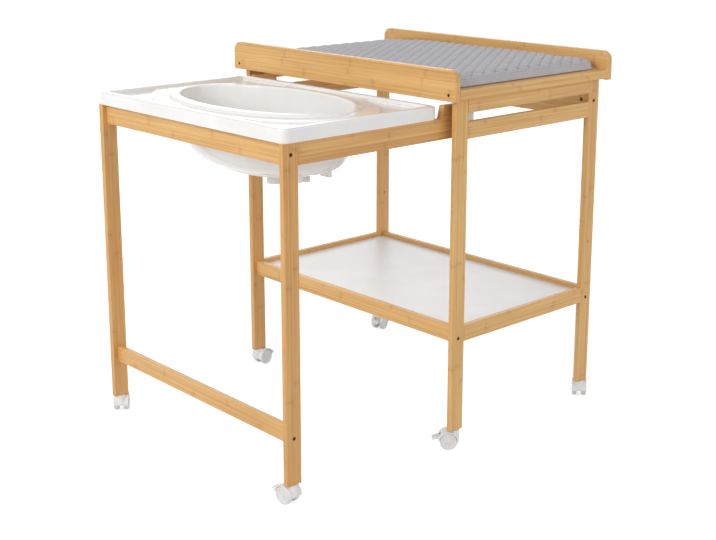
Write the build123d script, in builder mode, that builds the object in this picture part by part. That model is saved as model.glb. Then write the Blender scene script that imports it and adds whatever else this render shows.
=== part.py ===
from build123d import *
import os
from math import cos, radians, sin

os.makedirs("parts", exist_ok=True)

# A changing table on castors with a baby bath on a frame of its own that rolls out from under
# the tray. The floor is z 0. X is the way that the bath rolls, out towards -X, and the front of
# the table is -Y. The origin is under the middle of the whole length with the bath pulled out.

# Boards
post_width = 42.0
board_thick = 16.0
rail_height = 42.0
edge_round = 2.0
overrun = 5.0

# Stand
stand_width = 554.0
stand_depth = 830.0
stand_top = 905.0
post_foot = 50.0
apron_height = 38.0
slot_height = 22.0
top_rail_foot = 798.0
top_rail_height = 97.0
spare_hole_height = 456.0
spare_hole_radius = 2.5

# Shelf
shelf_top = 326.0
shelf_panel_thick = 6.0
shelf_panel_sink = 13.0
panel_fit = 0.3

# Changing tray
tray_overhang = 19.0
guard_overhang = 26.0
guard_thick = 18.0
guard_height = 76.0
guard_drop = 4.0
guard_corner = 24.0
batten_width = 45.0
batten_thick = 23.0
tray_panel_thick = 8.0
panel_seat = 6.0

# Changing pad
pad_side_gap = 2.0
pad_end_inset = 21.0
pad_thick = 29.0
pad_corner = 24.0
pad_draw_in = 3.0
pad_clearance = 0.3
pad_height_shares = (0.0, 0.12, 0.30, 0.58, 0.78, 0.91, 1.0)
pad_inset_shares = (0.30, 0.09, 0.0, 0.04, 0.22, 0.65, 3.40)

# Bath frame
bath_side_gap = 19.0
bath_drop = 50.0
bath_rail_height = 52.0
low_rail_foot = 150.0
rail_end_inset = 29.0
raised_gap = 21.0
raised_slant = 8.0
raised_height = 31.0
rear_rail_gap = 2.0

# Slide blocks, which run in the slots of the side frames
block_length = 28.0
block_fit = 0.3
block_bite = 6.0
block_flange_thick = 4.0
block_flange_height = 40.0
block_screw_spread = 15.0
block_round = 2.0

# Tub
rim_width = 478.0
rim_clearance = 2.0
rim_height = 33.0
rim_corner = 18.0
rim_edge_round = 6.0
tub_wall = 3.5
border_width = 17.0
border_round = 2.5
deck_drop = 7.0
soap_drop = 4.0
soap_corner = 8.0
soap_margin = 8.0
lip_half_width = 190.0
lip_half_length = 307.0
lip_slope = 8.0
lip_round = 5.0
bowl_half_width = 158.0
bowl_half_length = 288.0
bowl_shift = 8.0
bowl_depth = 174.5
bowl_depth_shares = (0.0, 0.30, 0.58, 0.78, 0.91, 1.0)
bowl_spread_shares = (1.0, 0.982, 0.949, 0.873, 0.715, 0.52)
bowl_floor_round = 14.0
foot_reach = 47.0
foot_spread = 180.0
foot_length = 34.0
foot_thick = 12.0
foot_round = 3.0
foot_rise = 60.0

# Drain
drain_shift_y = -38.0
drain_radius = 14.0
drain_fit = 0.1
outlet_radius = 26.0
outlet_flange_thick = 3.0
outlet_height = 32.0
outlet_body_radius = 21.0
outlet_wall = 2.0
spout_turn = -40.0
spout_reach = 88.0
spout_radius = 6.5
spout_bore = 4.5
collar_radius = 7.5
collar_length = 20.0
plug_flange_radius = 19.0
plug_flange_thick = 3.0
plug_depth = 5.0
plug_grip_width = 20.0
plug_grip_height = 14.0
plug_grip_thick = 5.0
plug_grip_hole = 4.0

# Bolts, barrel nuts and screws
bolt_radius = 3.0
bolt_head_radius = 4.6
bolt_head_depth = 3.0
bolt_head_sink = 1.0
bolt_key = 2.2
bolt_key_depth = 2.0
bolt_past_nut = 9.0
bolt_fit = 0.2
nut_radius = 5.0
nut_length = 13.0
nut_depth = 14.0
nut_setback = 20.0
nut_slot = 1.2
nut_slot_depth = 1.0
shelf_bolt_rise = 12.0
low_bolt_rise = 15.0
screw_radius = 2.0
screw_head_radius = 3.8
screw_head_depth = 2.4
screw_sink = 0.6
screw_key = 1.4
screw_slot = 0.7
screw_key_depth = 1.2
guard_screw_length = 50.0
tray_screw_length = 32.0
tray_screw_bore = 22.0
tray_screw_spread = 150.0
block_screw_length = 14.0

# Castors
wheel_radius = 22.0
wheel_width = 12.8
wheel_chamfer = 1.6
wheel_dish_radius = 17.0
wheel_dish = 1.5
wheel_hub_radius = 6.0
axle_radius = 2.5
axle_fit = 0.06
castor_trail = 16.0
castor_gap = 0.3
wheel_side_gap = 0.7
hood_wall = 3.0
hood_bay_gap = 1.2
hood_web = 12.4
hood_start_angle = 8.0
hood_end_angle = 187.0
hood_notch_angle = 46.0
hood_boss_radius = 12.5
hood_hub_radius = 7.0
stem_radius = 4.0
stem_length = 35.0
stem_fit = 0.06
brake_pivot_reach = 26.3
brake_pivot_angle = 20.0
brake_knuckle = 3.2
brake_pin_radius = 1.5
brake_pin_fit = 0.05
brake_side_gap = 0.3
brake_slot_gap = 1.5
brake_cheek = 4.0
brake_length = 14.5
brake_tip_drop = 4.0
brake_tip_radius = 3.0
turn_post_front_left = 138.0
turn_post_back_left = 10.0
turn_post_front_right = 40.0
turn_post_back_right = 200.0
turn_bath_front = 98.0
turn_bath_back = 52.0

# Places worked out from the sizes above
guard_span = stand_width + 2 * guard_overhang
tray_length = stand_depth + 2 * tray_overhang
stand_x = (rim_width + rim_clearance) / 2
post_x_left = stand_x - (stand_width - post_width) / 2
post_x_right = stand_x + (stand_width - post_width) / 2
post_y = (stand_depth - board_thick) / 2
stand_inner_y = stand_depth / 2 - board_thick
stand_inner_x = stand_width / 2 - post_width
apron_foot = stand_top - apron_height
guide_top = apron_foot - slot_height
shelf_foot = shelf_top - rail_height
shelf_panel_foot = shelf_top - shelf_panel_sink - shelf_panel_thick
tray_top = stand_top + batten_thick
tray_half_width = guard_span / 2 - guard_thick
guard_foot = stand_top - guard_drop
batten_inner_y = tray_length / 2 - batten_width
bath_left = -stand_x - guard_span / 2
bath_depth = stand_depth - 2 * (board_thick + bath_side_gap)
bath_top = stand_top - bath_drop
bath_post_x = bath_left + post_width / 2
bath_post_y = (bath_depth - board_thick) / 2
bath_inner_y = bath_depth / 2 - board_thick
bath_rail_foot = bath_top - bath_rail_height
rail_end_x = stand_x - stand_inner_x + rail_end_inset
tub_x = bath_left + rim_width / 2
bowl_x = tub_x + bowl_shift
tub_rear = bath_left + rim_width
rim_top = bath_top + rim_height
deck_top = rim_top - deck_drop
bowl_floor = rim_top - bowl_depth
bowl_foot = bowl_floor - tub_wall
nut_reach = nut_setback + bolt_past_nut
tray_screw_bite = tray_screw_length - apron_height + tray_screw_bore
wheel_inner = hood_web / 2 + wheel_side_gap
wheel_outer = wheel_inner + wheel_width
hood_top = post_foot - castor_gap
cheek_inner = hood_web / 2 + brake_side_gap
cheek_outer = cheek_inner + brake_cheek


def save(piece, label):
    """Name a finished piece and write it."""
    piece.part.label = label
    export_step(piece.part, f"parts/{label}.step")


def build_post(label, x, y, outward, top, bolt_heights, spare_heights=()):
    """A post with a bore for its castor's stem and bolt holes through its outer Y face."""
    outer_y = y + outward * board_thick / 2
    with BuildPart() as post:
        with BuildSketch(Plane.XY.offset(post_foot)):
            with Locations((x, y)):
                Rectangle(post_width, board_thick)
        extrude(amount=top - post_foot)
        fillet(post.edges().filter_by(Axis.Z), edge_round)
        with Locations(Plane(origin=(x, y, post_foot), z_dir=(0, 0, -1))):
            Hole(stem_radius + stem_fit, stem_length + stem_fit)
        for height in bolt_heights:
            with Locations(Plane(origin=(x, outer_y, height), z_dir=(0, outward, 0))):
                CounterBoreHole(
                    bolt_radius + bolt_fit,
                    bolt_head_radius + bolt_fit,
                    bolt_head_sink + bolt_head_depth,
                )
        for height in spare_heights:
            with Locations(Plane(origin=(x, outer_y, height), z_dir=(0, outward, 0))):
                Hole(spare_hole_radius)
    save(post, label)


def build_cross_rail(label, x, foot, height, half_span, bolt_rise, nut_side, groove_foot=None):
    """A rail along Y that bolts run into from both ends, with a barrel nut near each end."""
    with BuildPart() as rail:
        with BuildSketch(Plane.XY.offset(foot)):
            with Locations((x, 0)):
                Rectangle(board_thick, 2 * half_span)
        extrude(amount=height)
        fillet(rail.edges().filter_by(Axis.Y), edge_round)
        for end in (-1, 1):
            end_point = (x, end * half_span, foot + bolt_rise)
            with Locations(Plane(origin=end_point, z_dir=(0, end, 0))):
                Hole(bolt_radius + bolt_fit, nut_reach + bolt_fit)
            nut_point = (
                x + nut_side * board_thick / 2,
                end * (half_span - nut_setback),
                foot + bolt_rise,
            )
            with Locations(Plane(origin=nut_point, z_dir=(nut_side, 0, 0))):
                Hole(nut_radius + bolt_fit, nut_depth)
        if groove_foot is not None:
            with BuildSketch(Plane.XY.offset(groove_foot)):
                with Locations((x + nut_side * board_thick / 2, 0)):
                    Rectangle(2 * panel_seat, 2 * half_span)
            extrude(amount=shelf_panel_thick + panel_fit, mode=Mode.SUBTRACT)
    save(rail, label)


def build_side_board(label, outward, foot, height, screw_bores=False):
    """A board along X between the posts of one side frame, flush with their outer faces."""
    with BuildPart() as side_board:
        with BuildSketch(Plane.XY.offset(foot)):
            with Locations((stand_x, outward * post_y)):
                Rectangle(2 * stand_inner_x, board_thick)
        extrude(amount=height)
        fillet(side_board.edges().filter_by(Axis.X), edge_round)
        if screw_bores:
            for side in (-1, 1):
                bore_point = (stand_x + side * tray_screw_spread, outward * post_y, foot)
                with Locations(Plane(origin=bore_point, z_dir=(0, 0, -1))):
                    Hole(screw_head_radius + bolt_fit, tray_screw_bore)
                    Hole(screw_radius + bolt_fit)
    save(side_board, label)


# Stand: two glued side frames, each with two posts, an apron and a guide rail. The slot between
# the apron and the guide rail carries the bath frame's slide block.
shelf_bolt_height = shelf_foot + shelf_bolt_rise
top_bolt_height = top_rail_foot + top_rail_height / 2
for end_name, end_sign in (("front", -1), ("back", 1)):
    build_post(
        f"leg_{end_name}_left",
        post_x_left,
        end_sign * post_y,
        end_sign,
        stand_top,
        (shelf_bolt_height,),
    )
    build_post(
        f"leg_{end_name}_right",
        post_x_right,
        end_sign * post_y,
        end_sign,
        stand_top,
        (shelf_bolt_height, top_bolt_height),
        (spare_hole_height,),
    )
    build_side_board(f"apron_{end_name}", end_sign, apron_foot, apron_height, True)
    build_side_board(f"guide_rail_{end_name}", end_sign, guide_top - rail_height, rail_height)
    build_side_board(f"shelf_rail_{end_name}", end_sign, shelf_foot, rail_height)

build_cross_rail(
    "right_top_rail",
    post_x_right,
    top_rail_foot,
    top_rail_height,
    stand_inner_y,
    top_rail_height / 2,
    -1,
)
for side_name, side_x, inward in (("left", post_x_left, 1), ("right", post_x_right, -1)):
    build_cross_rail(
        f"shelf_rail_{side_name}",
        side_x,
        shelf_foot,
        rail_height,
        stand_inner_y,
        shelf_bolt_rise,
        inward,
        shelf_panel_foot,
    )

# Shelf panel: it sits in the grooves of the left and right shelf rails
shelf_panel_half_width = (stand_width - post_width - board_thick) / 2 + panel_seat - panel_fit
with BuildPart() as shelf_panel:
    with BuildSketch(Plane.XY.offset(shelf_panel_foot)):
        with Locations((stand_x, 0)):
            Rectangle(2 * shelf_panel_half_width, 2 * (stand_inner_y - panel_fit))
    extrude(amount=shelf_panel_thick)
save(shelf_panel, "shelf_panel")


# Changing tray: two guard boards on edge, joined by a flat batten at each end, with a panel
# that sits in the guards' grooves and the battens' rebates, level with the battens' tops.
def build_guard(label, side):
    """One guard board with rounded top corners, a groove for the panel and two screw holes."""
    inner_x = stand_x + side * tray_half_width
    with BuildPart() as guard:
        with BuildSketch(Plane.YZ.offset(inner_x)) as outline:
            with Locations((0, guard_foot + guard_height / 2)):
                Rectangle(tray_length, guard_height)
            fillet(outline.vertices().group_by(Axis.Y)[-1], guard_corner)
        extrude(amount=side * guard_thick)
        ends = guard.faces().filter_by(Axis.X)
        fillet(ends.edges(), edge_round)
        with BuildSketch(Plane.XY.offset(tray_top - tray_panel_thick)):
            with Locations((inner_x, 0)):
                Rectangle(2 * panel_seat, 2 * (batten_inner_y + panel_seat))
        extrude(amount=tray_panel_thick + panel_fit, mode=Mode.SUBTRACT)
        for end in (-1, 1):
            screw_point = (
                inner_x + side * guard_thick,
                end * (tray_length - batten_width) / 2,
                stand_top + batten_thick / 2,
            )
            with Locations(Plane(origin=screw_point, z_dir=(side, 0, 0))):
                CounterBoreHole(
                    screw_radius + bolt_fit,
                    screw_head_radius + bolt_fit,
                    screw_sink + screw_head_depth,
                )
    save(guard, label)


build_guard("guard_left", -1)
build_guard("guard_right", 1)

for end_name, end_sign in (("front", -1), ("back", 1)):
    batten_y = end_sign * (tray_length - batten_width) / 2
    with BuildPart() as batten:
        with BuildSketch(Plane.XY.offset(stand_top)):
            with Locations((stand_x, batten_y)):
                Rectangle(2 * tray_half_width, batten_width)
        extrude(amount=batten_thick)
        fillet(batten.edges().filter_by(Axis.X), edge_round)
        with BuildSketch(Plane.XY.offset(tray_top - tray_panel_thick)):
            with Locations((stand_x, end_sign * batten_inner_y)):
                Rectangle(2 * tray_half_width, 2 * panel_seat)
        extrude(amount=tray_panel_thick, mode=Mode.SUBTRACT)
        for side in (-1, 1):
            bore_point = (stand_x + side * tray_half_width, batten_y, stand_top + batten_thick / 2)
            with Locations(Plane(origin=bore_point, z_dir=(side, 0, 0))):
                Hole(screw_radius + bolt_fit, guard_screw_length)
            foot_point = (stand_x + side * tray_screw_spread, end_sign * post_y, stand_top)
            with Locations(Plane(origin=foot_point, z_dir=(0, 0, -1))):
                Hole(screw_radius + bolt_fit, tray_screw_bite + bolt_fit)
    save(batten, f"tray_batten_{end_name}")

with BuildPart() as tray_panel:
    with BuildSketch(Plane.XY.offset(tray_top - tray_panel_thick)):
        with Locations((stand_x, 0)):
            Rectangle(
                2 * (tray_half_width + panel_seat - panel_fit),
                2 * (batten_inner_y + panel_seat - panel_fit),
            )
    extrude(amount=tray_panel_thick)
save(tray_panel, "tray_panel")

# Changing pad: level sections with drawn-in sides, from the seam under the pad over its
# widest line up to the flat of the crown
pad_half_width = tray_half_width - pad_side_gap
pad_half_length = tray_length / 2 - pad_end_inset
pad_foot = tray_top + pad_clearance
with BuildPart() as changing_pad:
    for height_share, inset_share in zip(pad_height_shares, pad_inset_shares):
        reach_x = pad_half_width - inset_share * pad_thick
        reach_y = pad_half_length - inset_share * pad_thick
        left, right = stand_x - reach_x, stand_x + reach_x
        with BuildSketch(Plane.XY.offset(pad_foot + height_share * pad_thick)) as section:
            with BuildLine():
                ThreePointArc((left, -reach_y), (stand_x, pad_draw_in - reach_y), (right, -reach_y))
                ThreePointArc((right, -reach_y), (right - pad_draw_in, 0), (right, reach_y))
                ThreePointArc((right, reach_y), (stand_x, reach_y - pad_draw_in), (left, reach_y))
                ThreePointArc((left, reach_y), (left + pad_draw_in, 0), (left, -reach_y))
            make_face()
            fillet(section.vertices(), pad_corner)
    loft(ruled=True)
save(changing_pad, "changing_pad")

# Bath frame: two posts, side rails whose rear ends are raised behind the tub, and cross rails
bath_bolt_height = bath_top - bath_rail_height / 2
for end_name, end_sign in (("front", -1), ("back", 1)):
    build_post(
        f"bath_leg_{end_name}",
        bath_post_x,
        end_sign * bath_post_y,
        end_sign,
        bath_top,
        (low_rail_foot + low_bolt_rise, bath_bolt_height),
    )

    rail_start_x = bath_left + post_width
    raised_x = tub_rear + raised_gap
    block_y = end_sign * bath_depth / 2
    block_z = guide_top + slot_height / 2
    block_x = rail_end_x - block_length / 2
    with BuildPart() as bath_side_rail:
        with BuildSketch(Plane.XZ.offset(-end_sign * bath_inner_y)):
            with BuildLine():
                Polyline(
                    (rail_start_x, bath_rail_foot),
                    (rail_end_x, bath_rail_foot),
                    (rail_end_x, bath_top + raised_height),
                    (raised_x, bath_top + raised_height),
                    (raised_x - raised_slant, bath_top),
                    (rail_start_x, bath_top),
                    close=True,
                )
            make_face()
        extrude(amount=-end_sign * board_thick)
        fillet(bath_side_rail.edges().filter_by(Axis.X), edge_round)
        for rise in (-1, 1):
            screw_point = (block_x, block_y, block_z + rise * block_screw_spread)
            with Locations(Plane(origin=screw_point, z_dir=(0, end_sign, 0))):
                Hole(screw_radius + bolt_fit, block_screw_length)
    save(bath_side_rail, f"bath_side_rail_{end_name}")

    with BuildPart() as slide_block:
        with BuildSketch(Plane.XZ.offset(-block_y)):
            with Locations((block_x, block_z)):
                RectangleRounded(block_length, block_flange_height, block_round)
        extrude(amount=-end_sign * block_flange_thick)
        with BuildSketch(Plane.XZ.offset(-block_y)):
            with Locations((block_x, block_z)):
                RectangleRounded(block_length, slot_height - 2 * block_fit, block_round)
        extrude(amount=-end_sign * (bath_side_gap + block_bite))
        for rise in (-1, 1):
            screw_point = (
                block_x,
                block_y + end_sign * block_flange_thick,
                block_z + rise * block_screw_spread,
            )
            with Locations(Plane(origin=screw_point, z_dir=(0, end_sign, 0))):
                CounterBoreHole(
                    screw_radius + bolt_fit,
                    screw_head_radius + bolt_fit,
                    screw_head_depth,
                )
    save(slide_block, f"slide_block_{end_name}")

build_cross_rail(
    "bath_left_rail",
    bath_post_x,
    bath_rail_foot,
    bath_rail_height,
    bath_inner_y,
    bath_rail_height / 2,
    1,
)
build_cross_rail(
    "bath_low_rail",
    bath_post_x,
    low_rail_foot,
    rail_height,
    bath_inner_y,
    low_bolt_rise,
    1,
)

# The rear cross rail stands under the tub's rear edge, glued between the side rails
rear_rail_x = tub_rear - rear_rail_gap - board_thick / 2
with BuildPart() as bath_rear_rail:
    with BuildSketch(Plane.XY.offset(bath_rail_foot)):
        with Locations((rear_rail_x, 0)):
            Rectangle(board_thick, 2 * bath_inner_y)
    extrude(amount=bath_rail_height)
    fillet(bath_rear_rail.edges().filter_by(Axis.Y), edge_round)
save(bath_rear_rail, "bath_rear_rail")

# Tub: one thin moulding. A skirt and a raised border go round the rim, the deck inside them is
# sunken, with a soap dish in each corner, and an oval lip rolls over into the bowl.
deck_margin = border_width - tub_wall
with BuildPart() as tub:
    with BuildSketch(Plane.XY.offset(bath_top)):
        with Locations((tub_x, 0)):
            RectangleRounded(rim_width, bath_depth, rim_corner)
    extrude(amount=rim_height)
    fillet(tub.edges().group_by(Axis.Z)[-1], rim_edge_round)
    with BuildSketch(Plane.XY.offset(bath_top)):
        with Locations((tub_x, 0)):
            RectangleRounded(
                rim_width - 2 * tub_wall, bath_depth - 2 * tub_wall, rim_corner - tub_wall
            )
    extrude(amount=rim_height - tub_wall, mode=Mode.SUBTRACT)

    # Deck and its border
    with BuildSketch(Plane.XY.offset(deck_top - tub_wall)):
        with Locations((tub_x, 0)):
            RectangleRounded(
                rim_width - 2 * deck_margin, bath_depth - 2 * deck_margin, rim_corner
            )
    extrude(amount=deck_drop)
    with BuildSketch(Plane.XY.offset(deck_top)):
        with Locations((tub_x, 0)):
            RectangleRounded(
                rim_width - 2 * border_width, bath_depth - 2 * border_width, rim_corner - tub_wall
            )
    extrude(amount=deck_drop + overrun, mode=Mode.SUBTRACT)
    fillet(tub.edges(Select.LAST).group_by(Axis.Z)[-1], border_round)

    # Soap dishes, first their undersides and then their hollows
    for wall, foot, mode in (
        (tub_wall, deck_top - soap_drop - tub_wall, Mode.ADD),
        (0, deck_top - soap_drop, Mode.SUBTRACT),
    ):
        dish_margin = border_width + soap_margin - wall
        with BuildSketch(Plane.XY.offset(foot)) as dishes:
            with Locations((tub_x, 0)):
                Rectangle(rim_width - 2 * dish_margin, bath_depth - 2 * dish_margin)
                Ellipse(
                    rim_width / 2 - border_width - wall,
                    bath_depth / 2 - border_width - wall,
                    mode=Mode.SUBTRACT,
                )
            fillet(dishes.vertices(), soap_corner)
        extrude(amount=soap_drop + (tub_wall / 2 if wall else overrun), mode=mode)

    # Oval lip round the bowl, hollow underneath
    for foot, half_width, half_length in (
        (deck_top - tub_wall, lip_half_width, lip_half_length),
        (rim_top, lip_half_width - lip_slope, lip_half_length - lip_slope),
    ):
        with BuildSketch(Plane.XY.offset(foot)):
            with Locations((tub_x, 0)):
                Ellipse(half_width, half_length)
    loft(ruled=True)
    lip_edges = tub.edges(Select.LAST).group_by(Axis.Z)
    fillet(lip_edges[0] + lip_edges[-1], lip_round)
    with BuildSketch(Plane.XY.offset(deck_top - tub_wall)):
        with Locations((tub_x, 0)):
            Ellipse(
                lip_half_width - lip_slope - tub_wall, lip_half_length - lip_slope - tub_wall
            )
        with Locations((bowl_x, 0)):
            Ellipse(bowl_half_width + tub_wall, bowl_half_length + tub_wall, mode=Mode.SUBTRACT)
    extrude(amount=deck_drop, mode=Mode.SUBTRACT)

    # Bowl, first its outside, then the four feet under it, then its inside
    for wall, mode in ((tub_wall, Mode.ADD), (0, Mode.SUBTRACT)):
        for depth_share, spread_share in zip(bowl_depth_shares, bowl_spread_shares):
            level = rim_top - depth_share * (bowl_depth + wall)
            with BuildSketch(Plane.XY.offset(level)):
                with Locations((bowl_x, 0)):
                    Ellipse(
                        bowl_half_width * spread_share + wall,
                        bowl_half_length * spread_share + wall,
                    )
        loft(mode=mode)
        if wall:
            with BuildSketch(Plane.XY.offset(bowl_foot)):
                with Locations((bowl_x, 0)):
                    with GridLocations(2 * foot_reach, 2 * foot_spread, 2, 2):
                        RectangleRounded(foot_thick, foot_length, foot_round)
            extrude(amount=foot_rise)
    bowl_edges = tub.edges(Select.LAST).group_by(Axis.Z)
    fillet(bowl_edges[-1], lip_round)
    fillet(bowl_edges[0], bowl_floor_round)

    with Locations(Plane(origin=(bowl_x, drain_shift_y, bowl_floor))):
        Hole(drain_radius)
save(tub, "tub")

# Drain outlet: a flanged cup under the bowl with a hose spout
spout_dir = (cos(radians(spout_turn)), sin(radians(spout_turn)), 0)
spout_level = bowl_foot - outlet_height + collar_radius
spout_plane = Plane(origin=(bowl_x, drain_shift_y, spout_level), z_dir=spout_dir)
with BuildPart() as drain_outlet:
    with BuildSketch(Plane.XY.offset(bowl_foot - outlet_flange_thick)):
        with Locations((bowl_x, drain_shift_y)):
            Circle(outlet_radius)
    extrude(amount=outlet_flange_thick)
    with BuildSketch(Plane.XY.offset(bowl_foot - outlet_height)):
        with Locations((bowl_x, drain_shift_y)):
            Circle(outlet_body_radius)
    extrude(amount=outlet_height - outlet_flange_thick)
    with BuildSketch(spout_plane):
        Circle(spout_radius)
    extrude(amount=spout_reach)
    with BuildSketch(spout_plane.offset(spout_reach - collar_length)):
        Circle(collar_radius)
    extrude(amount=collar_length)
    with Locations(Plane(origin=(bowl_x, drain_shift_y, bowl_foot))):
        Hole(drain_radius, outlet_height - outlet_wall)
    with Locations(spout_plane.offset(spout_reach)):
        Hole(spout_bore, spout_reach - drain_radius)
save(drain_outlet, "drain_outlet")

# Drain plug: a flange on the bowl's floor, a stopper in the hole and a grip with a finger hole
with BuildPart() as drain_plug:
    with BuildSketch(Plane.XY.offset(bowl_floor)):
        with Locations((bowl_x, drain_shift_y)):
            Circle(plug_flange_radius)
    extrude(amount=plug_flange_thick)
    with BuildSketch(Plane.XY.offset(bowl_floor)):
        with Locations((bowl_x, drain_shift_y)):
            Circle(drain_radius - drain_fit)
    extrude(amount=-plug_depth)
    with BuildSketch(Plane.XZ.offset(-drain_shift_y)):
        grip_foot = bowl_floor + plug_flange_thick
        with Locations((bowl_x, grip_foot + plug_grip_height / 2)):
            RectangleRounded(plug_grip_width, plug_grip_height, plug_grip_thick)
        with Locations((bowl_x, grip_foot)):
            Rectangle(plug_grip_width, plug_grip_height)
        with Locations((bowl_x, grip_foot + plug_grip_height / 2)):
            Circle(plug_grip_hole, mode=Mode.SUBTRACT)
    extrude(amount=plug_grip_thick / 2, both=True)
save(drain_plug, "drain_plug")


# Fasteners
def build_bolts(label, places):
    """Connector bolts, sunk in the posts' faces. places has each bolt's x, face y, z and sign."""
    heads = [
        Plane(origin=(x, y - sign * bolt_head_sink, z), z_dir=(0, sign, 0))
        for x, y, z, sign in places
    ]
    inward = (Align.CENTER, Align.CENTER, Align.MAX)
    with BuildPart() as bolts:
        with Locations(*heads):
            Cylinder(bolt_head_radius, bolt_head_depth, align=inward)
            Cylinder(bolt_radius, board_thick - bolt_head_sink + nut_reach, align=inward)
        with BuildSketch(*heads):
            RegularPolygon(bolt_key, 6)
        extrude(amount=-bolt_key_depth, mode=Mode.SUBTRACT)
    save(bolts, label)


def build_nuts(label, places):
    """Barrel nuts. places has each rail's x, its end's y, the bolt's z, and two signs."""
    with BuildPart() as nuts:
        for x, end_y, z, end, side in places:
            nut_y = end_y - end * nut_setback
            mouth = Plane(
                origin=(x + side * (board_thick / 2 - nut_depth + nut_length), nut_y, z),
                z_dir=(side, 0, 0),
            )
            with BuildSketch(mouth):
                Circle(nut_radius)
            extrude(amount=-nut_length)
            with BuildSketch(mouth):
                Rectangle(nut_slot, 2 * nut_radius)
            extrude(amount=-nut_slot_depth, mode=Mode.SUBTRACT)
            with BuildSketch(Plane.XZ.offset(-nut_y)):
                with Locations((x, z)):
                    Circle(bolt_radius + bolt_fit)
            extrude(amount=nut_radius, both=True, mode=Mode.SUBTRACT)
    save(nuts, label)


def build_screws(label, heads, length):
    """Screws with cross-slot heads. heads has the plane of each head's outer face."""
    inward = (Align.CENTER, Align.CENTER, Align.MAX)
    with BuildPart() as screws:
        with Locations(*heads):
            Cylinder(screw_head_radius, screw_head_depth, align=inward)
            Cylinder(screw_radius, length, align=inward)
        with BuildSketch(*heads):
            Rectangle(2 * screw_key, screw_slot)
            Rectangle(screw_slot, 2 * screw_key)
        extrude(amount=-screw_key_depth, mode=Mode.SUBTRACT)
    save(screws, label)


ends = (-1, 1)
face_y = stand_depth / 2
bath_face_y = bath_depth / 2
build_bolts(
    "stand_bolts",
    [(post_x_right, end * face_y, top_bolt_height, end) for end in ends]
    + [(x, end * face_y, shelf_bolt_height, end) for x in (post_x_left, post_x_right) for end in ends],
)
build_nuts(
    "stand_nuts",
    [(post_x_right, end * stand_inner_y, top_bolt_height, end, -1) for end in ends]
    + [(post_x_left, end * stand_inner_y, shelf_bolt_height, end, 1) for end in ends]
    + [(post_x_right, end * stand_inner_y, shelf_bolt_height, end, -1) for end in ends],
)
bath_bolt_heights = (low_rail_foot + low_bolt_rise, bath_bolt_height)
build_bolts(
    "bath_bolts",
    [(bath_post_x, end * bath_face_y, z, end) for z in bath_bolt_heights for end in ends],
)
build_nuts(
    "bath_nuts",
    [(bath_post_x, end * bath_inner_y, z, end, 1) for z in bath_bolt_heights for end in ends],
)
build_screws(
    "guard_screws",
    [
        Plane(
            origin=(
                stand_x + side * (tray_half_width + guard_thick - screw_sink),
                end * (tray_length - batten_width) / 2,
                stand_top + batten_thick / 2,
            ),
            z_dir=(side, 0, 0),
        )
        for side in ends
        for end in ends
    ],
    guard_screw_length,
)
build_screws(
    "tray_screws",
    [
        Plane(
            origin=(
                stand_x + side * tray_screw_spread,
                end * post_y,
                apron_foot + tray_screw_bore - screw_head_depth,
            ),
            z_dir=(0, 0, -1),
        )
        for side in ends
        for end in ends
    ],
    tray_screw_length + screw_head_depth,
)
build_screws(
    "block_screws",
    [
        Plane(
            origin=(
                rail_end_x - block_length / 2,
                end * (bath_face_y + block_flange_thick),
                guide_top + slot_height / 2 + rise * block_screw_spread,
            ),
            z_dir=(0, end, 0),
        )
        for rise in ends
        for end in ends
    ],
    block_screw_length,
)


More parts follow.
